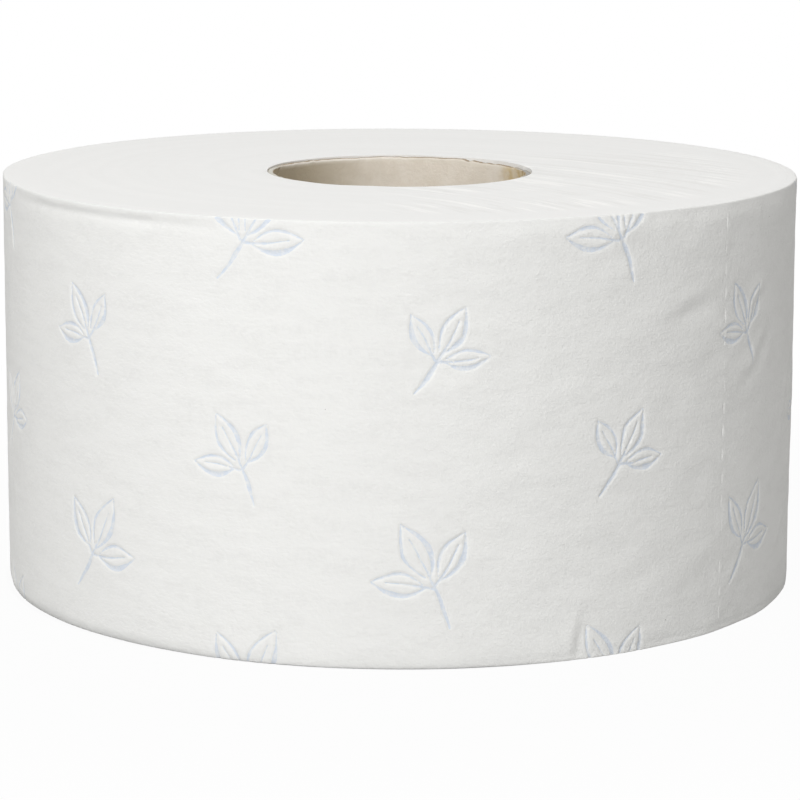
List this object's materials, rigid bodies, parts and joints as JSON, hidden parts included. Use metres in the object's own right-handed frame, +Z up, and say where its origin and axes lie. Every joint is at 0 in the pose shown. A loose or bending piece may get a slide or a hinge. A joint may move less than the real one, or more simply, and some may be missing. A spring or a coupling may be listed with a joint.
{
  "type": "toilet paper roll",
  "caption": "Jumbo toilet paper roll standing on one end: tissue wound round a hollow board core, with pressed sprigs and torn-edge lines.",
  "frame": {"origin": "centre of the end that the roll stands on", "axes": "+Z up along the core's axis; -Y towards the side that the picture shows in front; the outer turn ends at the back, 82 degrees round from +X towards +Y"},
  "size_m": [0.1877, 0.1876, 0.097],
  "materials": {
    "tissue": "matt, soft, pressed with a fine grain",
    "core_board": "matt grey-brown board"
  },
  "bodies": {
    "root": {"paper_roll": "tissue", "core_tube": "core_board"}
  },
  "joints": []
}
